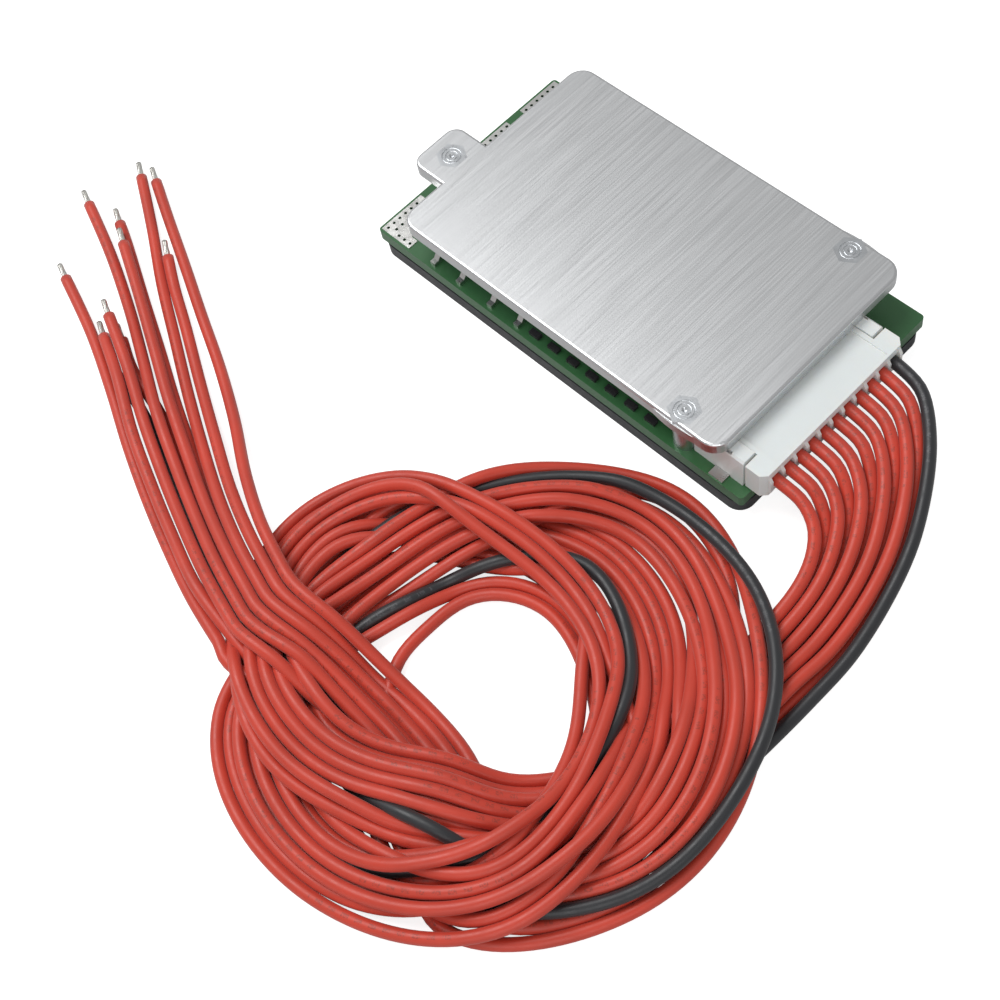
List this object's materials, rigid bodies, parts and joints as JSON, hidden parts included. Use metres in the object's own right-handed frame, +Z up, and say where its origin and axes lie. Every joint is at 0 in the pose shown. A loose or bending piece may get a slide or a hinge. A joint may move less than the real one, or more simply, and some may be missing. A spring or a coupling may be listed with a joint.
{
  "type": "battery management board",
  "caption": "Battery management circuit board held between a base plate and a heat spreader, with a side-entry plug and a coiled bundle of sensing wires with stripped ends.",
  "frame": {"origin": "centre of the circuit board's outline, on the surface that the base plate lies on", "axes": "+X along the board's length towards the plug, +Y across its width, away from the coil of wires, +Z up through the heat spreader"},
  "size_m": [0.1206, 0.0952, 0.0101],
  "materials": {
    "black_coat": "satin black coating",
    "film": "matt",
    "solder_mask": "glossy green mask over glass-fibre board",
    "solder": "tinned",
    "chip_plastic": "matt moulded",
    "chip_ceramic": "matt",
    "thermal_pad": "matt silicone",
    "brushed_aluminium": "fine brushed",
    "zinc_steel": "zinc plated, turned",
    "nylon": "natural white nylon",
    "contact_brass": "tin plated brass",
    "red_wire": "satin silicone-like insulation",
    "black_wire": "satin insulation"
  },
  "bodies": {
    "root": {"base_plate": "black_coat", "insulating_film": "film", "circuit_board": "solder_mask", "solder_pads": "solder", "mosfet_bodies": "chip_plastic", "mosfet_leads": "solder", "mosfet_tabs": "solder", "thermal_pads": "thermal_pad", "shunt_resistors": "chip_plastic", "balance_resistors": "chip_plastic", "balance_transistors": "chip_plastic", "protection_chips": "chip_plastic", "chip_leads": "solder", "chip_capacitors": "chip_ceramic", "edge_resistors": "chip_plastic", "top_plate": "brushed_aluminium", "standoffs": "zinc_steel", "base_screws": "zinc_steel", "connector_header": "nylon", "header_pins": "contact_brass", "header_anchors": "solder", "plug_housing": "nylon", "crimp_contacts": "contact_brass", "wire_coil": "red_wire", "lead_01": "red_wire", "lead_02": "red_wire", "lead_03": "red_wire", "lead_04": "red_wire", "lead_05": "red_wire", "lead_06": "red_wire", "lead_07": "red_wire", "lead_08": "red_wire", "lead_09": "red_wire", "lead_10": "red_wire", "lead_11": "black_wire", "tail_01": "red_wire", "tail_02": "red_wire", "tail_03": "red_wire", "tail_04": "red_wire", "tail_05": "red_wire", "tail_06": "red_wire", "tail_07": "red_wire", "tail_08": "red_wire", "tail_09": "red_wire", "tail_10": "red_wire", "tail_11": "black_wire", "tinned_ends": "solder"}
  },
  "joints": []
}
